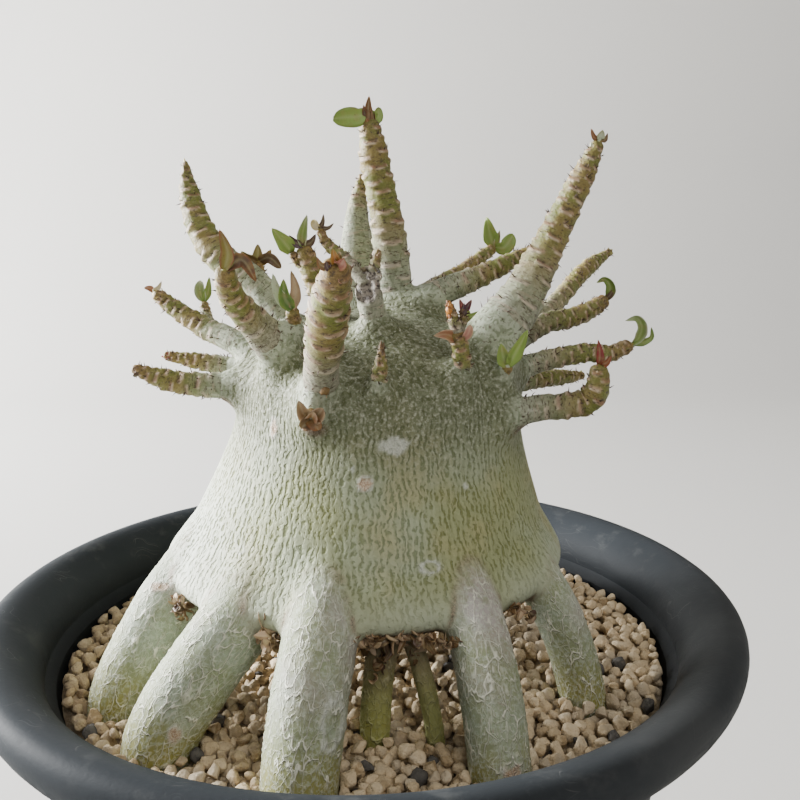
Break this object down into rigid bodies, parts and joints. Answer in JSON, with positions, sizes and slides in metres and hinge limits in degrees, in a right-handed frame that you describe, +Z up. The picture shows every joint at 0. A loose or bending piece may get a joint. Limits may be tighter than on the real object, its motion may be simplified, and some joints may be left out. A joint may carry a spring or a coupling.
{
  "type": "potted desert rose",
  "caption": "Round plastic pot of pumice gravel holding a succulent with a swollen bell-shaped trunk on thick bare roots and short scarred stems with small leaves.",
  "frame": {"origin": "on the floor at the middle of the pot's foot ring", "axes": "+Z up along the pot's axis, the view in the picture is from -Y, +X to its right"},
  "size_m": [0.2202, 0.2202, 0.2923],
  "materials": {
    "pot_plastic": "satin charcoal plastic, finely scratched and dusty",
    "pumice_gravel": "dull porous grains in tan, cream and grey brown",
    "caudex_bark": "pale grey green wrinkled bark with a whitish net",
    "stem_bark": "grey green to olive bark ringed with pinkish tan leaf scars",
    "leaf_green": "smooth satin green leaf",
    "leaf_brown": "dry brown scale or leaf"
  },
  "bodies": {
    "root": {"caudex": "caudex_bark", "gravel": "pumice_gravel", "pot": "pot_plastic", "stem_back_far_right": "stem_bark", "stem_back_left": "stem_bark", "stem_back_low": "stem_bark", "stem_back_mid": "stem_bark", "stem_back_right": "stem_bark", "stem_cut": "stem_bark", "stem_front": "stem_bark", "stem_front_brown": "stem_bark", "stem_front_thin": "stem_bark", "stem_left_front": "stem_bark", "stem_left_low_back": "stem_bark", "stem_left_low_front": "stem_bark", "stem_left_short": "stem_bark", "stem_left_side": "stem_bark", "stem_left_tall": "stem_bark", "stem_mid_left": "stem_bark", "stem_mid_pale": "stem_bark", "stem_mid_tall": "stem_bark", "stem_right_back": "stem_bark", "stem_right_behind": "stem_bark", "stem_right_front": "stem_bark", "stem_right_hook": "stem_bark", "stem_right_inner": "stem_bark", "stem_right_leafy": "stem_bark", "stem_right_long": "stem_bark", "stem_right_low": "stem_bark", "stem_right_side": "stem_bark", "stem_right_tall": "stem_bark", "tip_back_far_right": "leaf_green", "tip_back_mid": "leaf_green", "tip_front": "leaf_green", "tip_front_brown": "leaf_brown", "tip_left_front": "leaf_green", "tip_left_short": "leaf_green", "tip_left_side": "leaf_brown", "tip_mid_left": "leaf_green", "tip_mid_tall": "leaf_green", "tip_right_behind": "leaf_green", "tip_right_hook": "leaf_brown", "tip_right_leafy": "leaf_green", "tip_right_long": "leaf_green", "tip_right_side": "leaf_green", "tip_right_tall": "leaf_brown", "twig_tip_cut": "leaf_brown", "twig_tip_left_side": "leaf_green", "twig_tip_left_tall": "leaf_brown", "twig_tip_mid_left": "leaf_green"}
  },
  "joints": []
}
